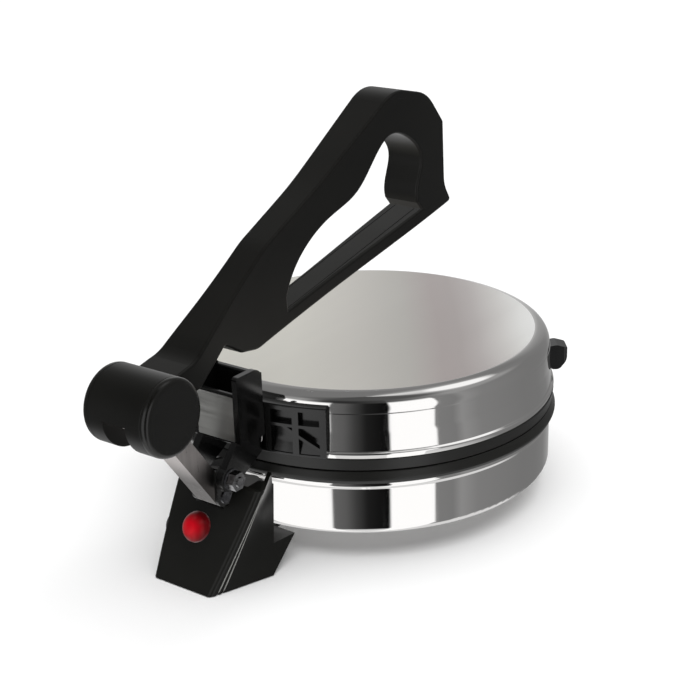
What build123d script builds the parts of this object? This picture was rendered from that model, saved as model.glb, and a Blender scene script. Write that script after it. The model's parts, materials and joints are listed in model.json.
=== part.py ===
from build123d import *
import os
from math import asin, atan2, cos, degrees, radians, sin, tan

# Electric roti maker: a pan and a hinged lid with a heated plate each, closed by a long press lever.
# Millimetres, +Z up. The origin is on the pan's axis at table level. +X runs from the hinge to the front.

# ---- fits and gaps ----
running_fit = 0.05          # radial play of a pin in the part that turns on it
screw_play = 0.1            # radial play of a screw in its own hole
seat_gap = 0.1              # between fixed pieces that lie side by side
moving_gap = 0.4            # between pieces that pass each other
bore_reach = 30.0           # a cutter for a bore across the part, to each side of the middle
cut_over = 1.0              # how far other cutters stand past the faces that they open

# ---- screw heads: radius and height ----
pan_screw_head = (4.0, 2.4)
foot_screw_head = (4.0, 2.2)
console_screw_head = (3.5, 1.6)
fixing_screw_head = (3.6, 2.2)
clamp_screw_head = (4.5, 2.4)
plate_screw_head = (3.0, 1.8)
block_screw_head = (3.6, 2.0)
tab_screw_head = (3.2, 1.8)
cap_screw_head = (2.8, 1.8)

# ---- heights, from the table up ----
foot_height = 16.0
pan_depth = 34.0
lower_ring_height = 7.2
upper_ring_height = 7.6
cover_height = 37.8
pan_floor = foot_height
pan_rim = pan_floor + pan_depth
seam = pan_rim + lower_ring_height
lid_seam = seam + moving_gap
lid_hem = lid_seam + upper_ring_height
disc_top = lid_hem + cover_height

# ---- round body ----
sheet = 0.8                 # steel of the pan and the lid
cover_radius = 116.3        # the lid's wall; the other radii follow from it
disc_radius = cover_radius - 8.9
shoulder_drop = 8.5
flare_radius = cover_radius + 3.6
flare_height = 9.6
flare_start = lid_hem + flare_height
pan_radius = cover_radius + 0.9
pan_corner = 4.0
rim_bead = 1.4              # how far the pan's rim is rolled out
rim_bead_height = 4.6
ring_radius = cover_radius + 4.7        # widest, at the lower ring
ring_waist = cover_radius + 2.2         # both rings beside the seam
ring_spigot = 6.0           # how far each ring reaches into its shell
spigot_wall = 3.0
plate_radius = cover_radius - 7.3
plate_play = 0.3            # around each plate's edge and inside its lip
plate_thickness = 5.0
plate_lip = 2.0             # raised edge that rests on the ring's ledge
ledge_radius = plate_radius - 5.0
ledge_thickness = 3.0
plate_gap = 0.6             # between the two cooking plates

# ---- heaters ----
tube_radius = 3.5
heater_tail = 26.0
heater_tail_spacing = 30.0
heater_pin = 4.0
clamp_sheet = 1.2
clamp_hole_radius = 9.0
clamp_hole_count = 6
clamp_screw_radius = 2.5
spacer_circle = ledge_radius - 12.0
spacer_radius = 4.0
spacer_count = 3
clamp_radius = spacer_circle - 10.0
heater_radius = clamp_radius - 10.0

# ---- hinge, link and drum places ----
hinge_x = -(cover_radius + 34.2)
hinge_z = 60.0
hinge_pin_radius = 3.0
link_pin_drop = 12.0        # the link's pin lies this far under the hinge bolt
link_pin_radius = 3.0
link_length = 85.9
link_tilt = 36.0            # from upright, outwards
link_width = 15.0
link_half_depth = 6.15
link_eye = 12.5
link_sheet = 2.0
link_notch_play = 0.5       # around the hinge bolt
ear_sheet = 2.0
ear_play = 0.3
lug_play = 0.4
lug_thickness = 4.5
lug_radius = 7.5
ear_radius = 6.2
link_pin_z = hinge_z - link_pin_drop
drum_x = hinge_x - link_length * sin(radians(link_tilt))
drum_z = link_pin_z + link_length * cos(radians(link_tilt))
ear_inner = link_width / 2 + ear_play
ear_outer = ear_inner + ear_sheet
lug_inner = ear_outer + lug_play
lug_outer = lug_inner + lug_thickness

# ---- press lever, in its own frame: u along the lower bar, v up, from the drum's axis ----
lever_rise = 11.75          # bar above level as it stands
drum_radius = 22.0
drum_body_half = 19.0
drum_cap_thickness = 4.5
drum_cap_rounding = 3.5
drum_slot_play = 0.7
drum_slot_start = -38.0     # degrees, from the bar round to the drum's far side
drum_slot_end = -190.0
drum_hollow_radius = 17.5   # bored around the link's eye and for the washers
axle_radius = 4.0
bar_underside = -9.8
bar_top = -1.0
toe_u = 287.0
lip_u = 289.0
lip_v = 45.0

# ---- hinge block on the lid ----
block_front_x = -(cover_radius + 26.7)
block_rear_x = -(cover_radius + 5.7)
block_half = 17.0
cheek = 3.5
block_bottom = 77.0
block_front_top = 108.0
cheek_top = 119.0
press_wall_top = 116.0
press_wall = 4.0
pocket_floor = 93.0
wing_angle = 25.5
wing_web = 1.8
wing_depth = 6.2
wing_top = 97.0
wing_flange = 3.0
wing_rib = 1.8
wing_rib_spread = 0.9       # degrees to each side of a rib's middle
wing_middle = 84.0
wing_start = 6.0
wing_rib_angles = (9.0, 17.0, 24.6)

# ---- console ----
console_foot_x = hinge_x - 30.5
console_lean = 34.6         # front panel from upright
console_foot_half = 21.0
console_top_half = 33.0
console_top = 53.0
console_wall = 2.5
console_pocket = 46.0       # floor of the recess the link stands in
console_lift = 0.6          # shell edge above the table
console_foot_rear_half = 35.3
console_top_rear_half = 16.0
# where the rear ends at the table and at a height above it
neck_rear = (-(pan_radius + 23.8), -(pan_radius - 3.2), console_top)
foot_rear = (-(pan_radius + 23.8), -(pan_radius - 2.2), pan_floor)
panel_edge_radius = 3.0
groove_width = 1.0
groove_depth = 0.8
groove_spacing = 2.6
groove_count = 2
lamp_radius = 9.0
lamp_dome = 8.0
lamp_rim = 1.6              # straight edge under the dome
lamp_y = 3.2
lamp_z = 29.2
lamp_stem_radius = 5.5
lamp_stem_length = 20.0

# ---- feet ----
pad_thickness = 2.0
foot_circle = 75.0
foot_angle = 50.0
foot_radius = 12.0
pad_radius = 9.0
console_pad_radius = 5.2
console_pad_places = ((hinge_x - 19.5, 13.0), (hinge_x + 0.5, 23.0))
pan_seat_gap = 0.2          # between the pan and what stands under or beside it


def section(corners):
    # closed face in the XZ plane from (x, z, corner radius) triples
    line = FilletPolyline(
        *[(x, z) for x, z, _ in corners],
        radius=[r for _, _, r in corners],
        close=True,
    )
    return Plane.XZ * make_face(line.edges())


def turned(corners):
    return revolve(section(corners), Axis.Z)


def across(face, y_low, y_high):
    # pushes an XZ face through the width from y_low to y_high
    return Pos(0, y_high, 0) * extrude(face, amount=y_high - y_low, dir=(0, -1, 0))


def upright(radius, z_low, z_high, x=0.0, y=0.0):
    return Pos(x, y, (z_low + z_high) / 2) * Cylinder(radius, z_high - z_low)


def crosswise(radius, y_low, y_high, x, z):
    return Pos(x, (y_low + y_high) / 2, z) * Rot(90, 0, 0) * Cylinder(radius, y_high - y_low)


def cross_bore(radius, x, z):
    # cutter for a bore right across the part
    return crosswise(radius, -bore_reach, bore_reach, x, z)


def block(x_low, x_high, y_low, y_high, z_low, z_high):
    size = (x_high - x_low, y_high - y_low, z_high - z_low)
    return Pos((x_low + x_high) / 2, (y_low + y_high) / 2, (z_low + z_high) / 2) * Box(*size)


def around(radius, angle):
    return radius * cos(radians(angle)), radius * sin(radians(angle))


def along_x(radius, length, x, y, z):
    # rod along X about its middle
    return Pos(x, y, z) * Rot(0, 90, 0) * Cylinder(radius, length)


def save(name, *solids):
    shape = solids[0] if len(solids) == 1 else Compound(children=list(solids))
    export_step(shape, f"parts/{name}.step")


# ---------------------------------------------------------------- base: pan, ring, plate, heater
spacer_angles = [360 / spacer_count * i for i in range(spacer_count)]
foot_places = [around(foot_circle, side * foot_angle) for side in (1, -1)]
foot_screw_radius = 2.0
thermostat_radius = 8.0
thermostat_height = 8.0
terminal_sheet = 0.8        # of the thermostat's flat terminals
foot_screw_length = 11.0
vent_count = 10
vent_circle = 40.0
vent_length = 22.0
vent_width = 4.0
lead_hole_radius = 4.8
lead_hole_z = 33.2
rivet_radius = 2.0
rivet_heights = (25.8, 40.4)
wall_bore = 12.0            # length of the cutter for a hole through a wall


def base_pan():
    inner = pan_radius - sheet
    bead_mid = pan_rim - rim_bead_height / 2
    shell = turned([
        (0, pan_floor, 0),
        (pan_radius, pan_floor, pan_corner),
        (pan_radius, pan_rim - rim_bead_height, 0.6),
        (pan_radius + rim_bead, bead_mid, 1.6),
        (pan_radius + 0.2, pan_rim, 0.2),
        (inner, pan_rim, 0),
        (inner, pan_floor + sheet, pan_corner - sheet),
        (0, pan_floor + sheet, 0),
    ])
    for angle in spacer_angles:
        x, y = around(spacer_circle, angle)
        shell -= upright(foot_screw_radius + screw_play, 0, pan_rim, x, y)
    for x, y in foot_places:
        shell -= upright(foot_screw_radius + screw_play, 0, pan_rim, x, y)
    for side in (1, -1):
        x, y = tongue_screw
        shell -= upright(foot_screw_radius + screw_play, 0, pan_rim, x, side * y)
    vent = extrude(SlotOverall(vent_length, vent_width), 2 * sheet, both=True)
    for i in range(vent_count):
        shell -= Rot(0, 0, 360 / vent_count * (i + 0.5)) * Pos(vent_circle, 0, pan_floor) * vent
    shell -= along_x(lead_hole_radius, wall_bore, -pan_radius, 0, lead_hole_z)
    for z in rivet_heights:
        shell -= along_x(rivet_radius + screw_play, wall_bore, -pan_radius, 0, z)
    return shell


def base_ring():
    spigot_outer = pan_radius - sheet - seat_gap
    bore = plate_radius + plate_play
    ledge_top = seam - plate_thickness - plate_lip
    return turned([
        (ledge_radius, ledge_top - ledge_thickness, 0),
        (ledge_radius, ledge_top, 0),
        (bore, ledge_top, 0),
        (bore, seam, 0),
        (ring_waist, seam, 0.8),
        (ring_radius, seam - 4.6, 2.0),
        (ring_radius - 1.2, pan_rim, 0.6),
        (spigot_outer, pan_rim, 0),
        (spigot_outer, pan_rim - ring_spigot, 0),
        (spigot_outer - spigot_wall, pan_rim - ring_spigot, 0),
        (spigot_outer - spigot_wall, ledge_top - ledge_thickness, 0),
    ])


def plate_form(lip_out):
    # flat disc with a raised edge on the side away from the food
    inner_lip = ledge_radius + plate_play
    return turned([
        (0, 0, 0),
        (0, -plate_thickness, 0),
        (inner_lip, -plate_thickness, 0),
        (inner_lip, -plate_thickness - lip_out, 0),
        (plate_radius, -plate_thickness - lip_out, 0),
        (plate_radius, 0, 0.6),
    ])


def lower_cooking_plate():
    plate = Pos(0, 0, seam) * plate_form(plate_lip)
    boss_low = clamp_top_low()
    under = seam - plate_thickness
    plate += upright(spacer_radius + 2, boss_low, under)
    for angle in spacer_angles:
        x, y = around(spacer_circle, angle)
        plate += upright(spacer_radius + 2, boss_low, under, x, y)
        plate -= upright(foot_screw_radius + running_fit, boss_low - 1, under - 1, x, y)
    return plate - upright(clamp_screw_radius + running_fit, boss_low - 1, under - 1)


def clamp_top_low():
    # upper face of the lower clamp sheet: the tube lies between it and the plate
    return seam - plate_thickness - 2 * tube_radius - 2 * seat_gap


def clamp_bottom_high():
    return lid_plate_face() + plate_thickness + 2 * tube_radius + 2 * seat_gap


def lid_plate_face():
    return seam + plate_gap


def heater(centre_z):
    half_gap = degrees(asin(heater_tail_spacing / 2 / heater_radius))
    profile = Plane.XZ * (Pos(heater_radius, centre_z) * Circle(tube_radius))
    ring = revolve(profile, Axis.Z, revolution_arc=360 - 2 * half_gap)
    ring = Rot(0, 0, 180 + half_gap) * ring
    bend_x, bend_y = around(heater_radius, 180 - half_gap)
    for side in (1, -1):
        ring += Pos(bend_x, side * bend_y, centre_z) * Sphere(tube_radius)
        ring += along_x(tube_radius, heater_tail, bend_x - heater_tail / 2, side * bend_y, centre_z)
        pin_x = bend_x - heater_tail - heater_pin / 2
        ring += along_x(tube_radius / 2, heater_pin, pin_x, side * bend_y, centre_z)
    return ring


def clamp(z_low):
    disc = upright(clamp_radius, z_low, z_low + clamp_sheet)
    disc -= upright(clamp_screw_radius + screw_play, z_low - 1, z_low + 2 * clamp_sheet)
    for i in range(clamp_hole_count):
        x, y = around(clamp_radius / 2, 360 / clamp_hole_count * (i + 0.5))
        disc -= upright(clamp_hole_radius, z_low - 1, z_low + 2 * clamp_sheet, x, y)
    return disc


def plate_spacers():
    low = pan_floor + sheet
    posts = []
    for angle in spacer_angles:
        x, y = around(spacer_circle, angle)
        post = upright(spacer_radius, low, clamp_top_low(), x, y)
        posts.append(post - upright(foot_screw_radius + screw_play, 0, seam, x, y))
    return posts


def screw_up(radius, head_radius, head_height, seat, tip, x, y):
    # head under the seat, shank pointing up
    head = upright(head_radius, seat - head_height, seat, x, y)
    head = fillet(head.edges().sort_by(Axis.Z)[0], head_height * 0.4)
    head -= Pos(x, y, seat - head_height) * Box(2 * head_radius, 1, 1.4)
    return head + upright(radius, seat, tip, x, y)


def turned_over(shape, seat):
    return Pos(0, 0, seat) * (Rot(180, 0, 0) * (Pos(0, 0, -seat) * shape))


def pan_screws():
    tip = seam - plate_thickness - 2
    places = [around(spacer_circle, angle) for angle in spacer_angles]
    return [screw_up(foot_screw_radius, *pan_screw_head, pan_floor, tip, x, y) for x, y in places]


def thermostat():
    # round can under the clamp with a flat terminal on each side
    top = clamp_top_low() - clamp_sheet
    x = -clamp_radius / 4
    can = upright(thermostat_radius, top - thermostat_height, top, x, 0)
    for y in (thermostat_radius / 2, -thermostat_radius / 2):
        can += block(x - thermostat_radius - 3, x, y - 3, y + 3, top - 7, top - 7 + terminal_sheet)
    return can


# ---------------------------------------------------------------- feet and console
def front_feet():
    feet = []
    for x, y in foot_places:
        foot = Cone(foot_radius - 1, foot_radius + 1, foot_height - pad_thickness)
        foot = Pos(x, y, (foot_height + pad_thickness) / 2) * foot
        foot -= upright(foot_screw_radius + screw_play, pad_thickness + 3, foot_height, x, y)
        feet.append(foot)
    return feet


def foot_screws():
    top = pan_floor + sheet
    screws = []
    for x, y in foot_places:
        screw = screw_up(foot_screw_radius, *foot_screw_head, top, top + foot_screw_length, x, -y)
        screws.append(turned_over(screw, top))
    return screws


def rising(low, high, z, height=console_top):
    # value at z on a straight line from low at the table to high at the height
    return low + z / height * (high - low)


def console_outline(z, rear, inset):
    # plan outline at one height, drawn in by inset; the sides run on to the given rear end
    front_x = console_foot_x + z * tan(radians(console_lean))
    front_half = rising(console_foot_half, console_top_half, z)
    neck_half = rising(console_foot_rear_half, console_top_rear_half, z)
    rear_x = rising(*rear[:2], z, rear[2])
    spread = (neck_half - front_half) / (rising(*neck_rear[:2], z) - front_x)
    rear_half = front_half + spread * (rear_x - front_x)
    outline = Polyline(
        (front_x, -front_half), (rear_x, -rear_half), (rear_x, rear_half), (front_x, front_half),
        close=True,
    )
    face = make_face(outline.edges())
    if inset > 0:
        face = offset(face, amount=-inset, kind=Kind.INTERSECTION)
    return Pos(0, 0, z) * face


def console_form(z_low, z_high, rear=neck_rear, inset=0.0):
    return loft([console_outline(z, rear, inset) for z in (z_low, z_high)], ruled=True)


foot_top = pan_floor - pan_seat_gap
foot_shelf = 2.5            # shelf that carries the pan
foot_step = 0.4             # the foot's sides stand back this far from the neck's
console_floor_low = pad_thickness
console_floor_thickness = 2.5
console_floor_high = console_floor_low + console_floor_thickness
console_slot_half = 10.3    # slot the hinge bracket and the link stand in
console_slot_low = 40.6
console_boss = (hinge_x - 9.0, 20.5)
console_boss_radius = 4.0
console_boss_top = 24.0
console_screw_radius = 1.75
console_screw_length = 14.0             # past the floor plate
console_screw_room = 1.5                # hole deeper than the screw is long
console_slot_front = hinge_x - 24.5
console_well_front = hinge_x + 10.5     # from here to the pan the slot is deeper
console_well_low = pan_floor + 4.0
link_pin_head = 1.5
pin_relief_radius = link_pin_radius + 2.5
pin_relief_play = 1.2
cooling_slot_count = 5
cooling_slot_start = hinge_x - 1.5
cooling_slot_pitch = 4.0
cooling_slot_width = 2.0
cooling_slot_half = 10.0
fixing_nut_corner = 4.0
fixing_nut_height = 3.0
tongue_half = 15.0
tongue_thickness = 3.0
tongue_end = -(pan_radius - 21.2)
tongue_screw = (-(pan_radius - 13.2), 9.0)
terminal_x = hinge_x - 11.0
terminal_half = 7.0
terminal_half_depth = 4.5
terminal_height = 9.0
terminal_pitch = 4.5
terminal_wire_height = 3.5
terminal_screw_low = 5.0
terminal_screw_radius = 1.2
wire_hole_radius = 1.4
gland_place = (hinge_x + 4.5, 16.0)
gland_flange_radius = 7.5
gland_flange = 2.5
gland_seat = 33.5
gland_radius = 4.9
gland_depth = 9.0
cord_hole_radius = 3.75
lamp_x = console_foot_x + lamp_z * tan(radians(console_lean))
lamp_place = Pos(lamp_x, lamp_y, lamp_z) * Rot(0, console_lean - 90, 0)


def console_mass():
    # whole form: a neck that leans back to the pan's wall, and a foot that reaches under the pan
    neck = console_form(console_lift, console_top)
    uprights = neck.edges().filter_by(lambda e: abs((e @ 1 - e @ 0).Z) > 1)
    neck = fillet(uprights.sort_by(Axis.X)[:2], panel_edge_radius)
    foot = console_form(console_lift, foot_top, foot_rear, foot_step)
    return neck + (foot - block(2 * hinge_x, hinge_x, -cover_radius, cover_radius, 0, console_top))


def console_shell():
    whole = console_mass()
    pocket_under = console_pocket - console_wall
    under = console_lift - cut_over
    above = console_top + cut_over
    body = whole - console_form(under, pocket_under, neck_rear, console_wall)
    body -= console_form(under, foot_top - foot_shelf, foot_rear, foot_step + console_wall)
    body -= console_form(console_pocket, above, neck_rear, console_wall)
    body -= panel_grooves()
    for side in (1, -1):
        x, y = console_boss
        body += upright(console_boss_radius, console_floor_high, console_boss_top, x, side * y) & whole
    body += crosswise(gland_radius + 4, gland_seat - gland_depth - 3, gland_seat, *gland_place)
    body -= crosswise(gland_radius + screw_play, 0, gland_seat + 1, *gland_place)
    tongue_low = foot_top - tongue_thickness
    body += block(-pan_radius - 15, tongue_end, -tongue_half, tongue_half, tongue_low, foot_top)
    # slot for the link and the bracket, deeper towards the pan
    half = console_slot_half
    body -= block(console_slot_front, -pan_radius, -half, half, console_slot_low, above)
    body -= block(console_well_front, -pan_radius, -half, half, console_well_low, above)
    relief_half = ear_outer + link_pin_head + pin_relief_play
    body -= crosswise(pin_relief_radius, -relief_half, relief_half, hinge_x, link_pin_z)
    body -= upright(pan_radius + pan_seat_gap + 0.1, foot_top, above)
    body -= upright(ring_radius + moving_gap, pan_rim - rim_bead_height - moving_gap, above)
    body -= lamp_place * Cylinder(lamp_stem_radius + screw_play, wall_bore)
    for side in (1, -1):
        x, y = console_boss
        hole_top = console_floor_high + console_screw_length + console_screw_room
        body -= upright(console_screw_radius + screw_play, 0, hole_top, x, side * y)
        x, y = tongue_screw
        hole_top = foot_top + cut_over
        body -= upright(foot_screw_radius + screw_play, tongue_low - cut_over, hole_top, x, side * y)
    return body


def panel_grooves():
    # shadow lines that part the front panel from the sides
    core = console_form(-5 * cut_over, console_top + 5 * cut_over, neck_rear, groove_depth)
    grooves = []
    for i in range(groove_count):
        depth = panel_edge_radius + groove_width + i * groove_spacing
        slab = Box(2 * console_top, 3 * console_top_half, groove_width)
        slab = lamp_place * (Pos(0, -lamp_y, -depth) * slab)
        grooves.append(slab - core)
    return grooves


def console_floor():
    # bottom plate with a row of cooling slots
    inset = console_wall + seat_gap
    under = console_floor_low - cut_over
    above = console_floor_high + cut_over
    plate = console_form(console_floor_low, console_floor_high, neck_rear, inset)
    plate &= console_form(under, above, foot_rear, foot_step + inset)
    for side in (1, -1):
        x, y = console_boss
        plate -= upright(console_screw_radius + screw_play, under, above, x, side * y)
    for i in range(cooling_slot_count):
        x = cooling_slot_start + i * cooling_slot_pitch
        half = cooling_slot_half
        plate -= block(x, x + cooling_slot_width, -half, half, under, above)
    return plate


def console_screws():
    x, y = console_boss
    tip = console_floor_high + console_screw_length
    sizes = (console_screw_radius, *console_screw_head, console_floor_low, tip)
    return [screw_up(*sizes, x, side * y) for side in (1, -1)]


def console_fixings():
    x, y = tongue_screw
    seat = foot_top - tongue_thickness
    nut_low = pan_floor + sheet
    pieces = []
    for side in (1, -1):
        tip = nut_low + fixing_nut_height + 2 * cut_over
        pieces.append(screw_up(foot_screw_radius, *fixing_screw_head, seat, tip, x, side * y))
        nut = extrude(RegularPolygon(fixing_nut_corner, 6), fixing_nut_height)
        nut = Pos(x, side * y, nut_low) * nut
        pieces.append(nut - upright(foot_screw_radius + running_fit, seat, tip + cut_over, x, side * y))
    return pieces


def terminal_block():
    # three ways, each with a wire hole through it and a screw hole above
    x = terminal_x
    low = console_floor_high
    top = low + terminal_height
    body = block(x - terminal_half_depth, x + terminal_half_depth, -terminal_half, terminal_half, low, top)
    for y in (-terminal_pitch, 0, terminal_pitch):
        body -= along_x(wire_hole_radius, 4 * terminal_half_depth, x, y, low + terminal_wire_height)
        body -= upright(terminal_screw_radius, low + terminal_screw_low, top + cut_over, x, y)
    return body


def cord_gland():
    flange = crosswise(gland_flange_radius, gland_seat, gland_seat + gland_flange, *gland_place)
    flange = fillet(flange.edges().sort_by(Axis.Y)[-1], 1)
    neck = crosswise(gland_radius, gland_seat - gland_depth, gland_seat, *gland_place)
    return flange + neck - crosswise(cord_hole_radius, 0, 2 * gland_seat, *gland_place)


def lamp_lens():
    crown = lamp_dome - lamp_rim
    dome_radius = (lamp_radius ** 2 + crown ** 2) / (2 * crown)
    dome = Pos(0, 0, lamp_rim + crown - dome_radius) * Sphere(dome_radius)
    dome &= Pos(0, 0, lamp_rim + crown / 2) * Cylinder(lamp_radius + cut_over, crown)
    return lamp_place * (dome + Pos(0, 0, lamp_rim / 2) * Cylinder(lamp_radius, lamp_rim))


def lamp_body():
    return lamp_place * (Pos(0, 0, -lamp_stem_length / 2) * Cylinder(lamp_stem_radius, lamp_stem_length))


def rubber_pads():
    pads = [upright(pad_radius, 0, pad_thickness, x, y) for x, y in foot_places]
    for x, y in console_pad_places:
        for side in (1, -1):
            pads.append(upright(console_pad_radius, 0, pad_thickness, x, side * y))
    return pads


# ---------------------------------------------------------------- hinge bracket and its pins
bracket_face_x = -pan_radius - pan_seat_gap
bracket_low = 22.0
bracket_high = pan_rim - rim_bead_height - moving_gap
rivet_head_radius = 3.4
rivet_head_height = 1.2
rivet_sink = 0.3            # the heads clear the pan's curved wall by this


def hinge_bracket():
    back_x = bracket_face_x - ear_sheet
    plate = block(back_x, bracket_face_x, -ear_outer, ear_outer, bracket_low, bracket_high)
    web = section([
        (bracket_face_x, bracket_low, 0),
        (bracket_face_x, bracket_high, 0),
        (-ring_radius - 1, pan_rim - 0.8, 0),
        (hinge_x + ear_radius, hinge_z, 0),
        (hinge_x - ear_radius, hinge_z, 0),
        (hinge_x - ear_radius, link_pin_z, 0),
        (hinge_x, link_pin_z - ear_radius, 0),
    ])
    ears = across(web, ear_inner, ear_outer)
    ears += crosswise(ear_radius, ear_inner, ear_outer, hinge_x, hinge_z)
    ears += crosswise(ear_radius, ear_inner, ear_outer, hinge_x, link_pin_z)
    ears += mirror(ears, about=Plane.XZ)
    bracket = plate + ears
    bracket -= cross_bore(hinge_pin_radius + running_fit, hinge_x, hinge_z)
    bracket -= cross_bore(link_pin_radius + running_fit, hinge_x, link_pin_z)
    bracket -= along_x(lead_hole_radius - 1, wall_bore, back_x, 0, lead_hole_z)
    for z in rivet_heights:
        bracket -= along_x(rivet_radius + screw_play, wall_bore, back_x, 0, z)
    return bracket


def bracket_rivets():
    rivets = []
    outer = bracket_face_x - ear_sheet
    inner = -pan_radius + sheet + rivet_sink
    for z in rivet_heights:
        rivet = along_x(rivet_radius, inner - outer, (outer + inner) / 2, 0, z)
        for x in (outer - rivet_head_height / 2, inner + rivet_head_height / 2):
            rivet += along_x(rivet_head_radius, rivet_head_height, x, 0, z)
        rivets.append(rivet)
    return rivets


washer_thickness = 1.0
washer_radius = 6.5
bolt_seat = lug_outer + 0.3
bolt_end = 1.5              # shank past the nut
nut_corner_radius = 5.8
bolt_head_height = 3.5
nut_height = 5.0


def hinge_bolt():
    head_face = bolt_seat + washer_thickness
    head = Rot(90, 0, 0) * extrude(RegularPolygon(nut_corner_radius, 6), bolt_head_height)
    shank = crosswise(hinge_pin_radius, -head_face - nut_height - bolt_end, head_face, hinge_x, hinge_z)
    return Pos(hinge_x, head_face + bolt_head_height, hinge_z) * head + shank


def hinge_washers():
    rings = []
    for side in (1, -1):
        low, high = sorted((side * bolt_seat, side * (bolt_seat + washer_thickness)))
        ring = crosswise(washer_radius, low, high, hinge_x, hinge_z)
        rings.append(ring - cross_bore(hinge_pin_radius + running_fit, hinge_x, hinge_z))
    return rings


def hinge_nut():
    face = -(bolt_seat + washer_thickness)
    nut = Rot(90, 0, 0) * extrude(RegularPolygon(nut_corner_radius, 6), nut_height)
    nut = Pos(hinge_x, face, hinge_z) * nut
    nut -= cross_bore(hinge_pin_radius + running_fit, hinge_x, hinge_z)
    return nut


def link_pin():
    pin = crosswise(link_pin_radius, -ear_outer, ear_outer, hinge_x, link_pin_z)
    for side in (1, -1):
        low, high = sorted((side * ear_outer, side * (ear_outer + link_pin_head)))
        pin += crosswise(link_pin_radius + 1, low, high, hinge_x, link_pin_z)
    return pin


# ---------------------------------------------------------------- lid
block_screw_places = [(side * 9.0, z) for side in (1, -1) for z in (81.5, 89.5)]
block_screw_radius = 2.0
block_screw_length = 18.0
block_screw_seat = -cover_radius + sheet + 1.0
plate_screw_radius = 1.5
plate_screw_places = [around((ledge_radius + plate_radius) / 2 + 0.2, angle) for angle in (60, 180, 300)]
tab_screw_radius = 1.5
tab_screw_length = 8.0
tab_screw_z = flare_start + 5.0
tab_place = Rot(0, 0, -52)


def cover_profile(inset):
    # outer line of the lid from its middle to the hem, drawn in by inset
    return [
        (disc_radius - 0.6, disc_top - inset, 0),
        (disc_radius, disc_top - 0.5 - inset, 0),
        (disc_radius + 6.8 - inset, disc_top - 4 - inset / 2, 5),
        (cover_radius - inset, disc_top - shoulder_drop, 3),
        (cover_radius - inset, flare_start, 8),
        (flare_radius - 0.5 - inset, lid_hem + 2.3, 1.5),
        (flare_radius - inset, lid_hem, 0),
    ]


def lid_cover():
    outer = turned([(0, disc_top, 0)] + cover_profile(0) + [(0, lid_hem, 0)])
    inner = turned([(0, disc_top - sheet, 0)] + cover_profile(sheet) + [(0, lid_hem, 0)])
    cover = outer - inner
    for y, z in block_screw_places:
        cover -= along_x(block_screw_radius + screw_play, wall_bore, -cover_radius, y, z)
    hole = along_x(tab_screw_radius + screw_play, wall_bore, cover_radius, 0, tab_screw_z)
    return cover - tab_place * hole


def lid_ring():
    spigot_outer = cover_radius - sheet - seat_gap
    bore = plate_radius + plate_play
    ledge_low = lid_plate_face() + plate_thickness + plate_lip
    ring = turned([
        (bore, lid_seam, 0),
        (bore, ledge_low, 0),
        (ledge_radius, ledge_low, 0),
        (ledge_radius, ledge_low + ledge_thickness, 0),
        (spigot_outer - spigot_wall, ledge_low + ledge_thickness, 0),
        (spigot_outer - spigot_wall, lid_hem + ring_spigot, 0),
        (spigot_outer, lid_hem + ring_spigot, 0),
        (spigot_outer, lid_hem, 0),
        (flare_radius - 0.3, lid_hem, 0.4),
        (ring_waist, lid_seam, 0.8),
    ])
    for x, y in plate_screw_places:
        ring -= upright(plate_screw_radius + screw_play, lid_seam, lid_hem + 9, x, y)
    return ring


def upper_cooking_plate():
    plate = turned_over(Pos(0, 0, lid_plate_face()) * plate_form(plate_lip), lid_plate_face())
    top = lid_plate_face() + plate_thickness
    plate += upright(spacer_radius + 2, top, clamp_bottom_high())
    plate -= upright(clamp_screw_radius + running_fit, top - 2, clamp_bottom_high() + 1)
    for x, y in plate_screw_places:
        plate -= upright(plate_screw_radius + running_fit, top - 3, lid_hem + 9, x, y)
    return plate


def plate_screws():
    seat = lid_plate_face() + plate_thickness + plate_lip + ledge_thickness
    tip = seat + ledge_thickness + plate_lip + 2
    sizes = (plate_screw_radius, *plate_screw_head, seat, tip)
    return [turned_over(screw_up(*sizes, x, -y), seat) for x, y in plate_screw_places]


def lower_clamp_screw():
    seat = clamp_top_low() - clamp_sheet
    return screw_up(clamp_screw_radius, *clamp_screw_head, seat, seam - plate_thickness - 1.5, 0, 0)


def upper_clamp_screw():
    seat = clamp_bottom_high() + clamp_sheet
    tip = seat + clamp_sheet + 2 * tube_radius + 1
    return turned_over(screw_up(clamp_screw_radius, *clamp_screw_head, seat, tip, 0, 0), seat)


def sector(low, high):
    # wedge around -X between two angles
    near = around(1.5 * cover_radius, 180 - low)
    far = around(1.5 * cover_radius, 180 - high)
    face = make_face(Polyline((0, 0), near, far, close=True).edges())
    return extrude(face, disc_top)


def layer(z_low, z_high):
    # everything between two heights
    return upright(2 * cover_radius, z_low, z_high)


def wing_skin(thickness, z_low, z_high):
    inner = [(r + seat_gap, z, f) for r, z, f in cover_profile(0)[4:]]
    inner[-1] = (inner[-1][0], z_low, 0)
    outer = [(r + thickness, z, f) for r, z, f in reversed(inner)]
    corners = [(cover_radius + seat_gap, z_high, 0)] + inner + outer
    corners += [(cover_radius + seat_gap + thickness, z_high, 0)]
    return turned(corners)


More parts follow.
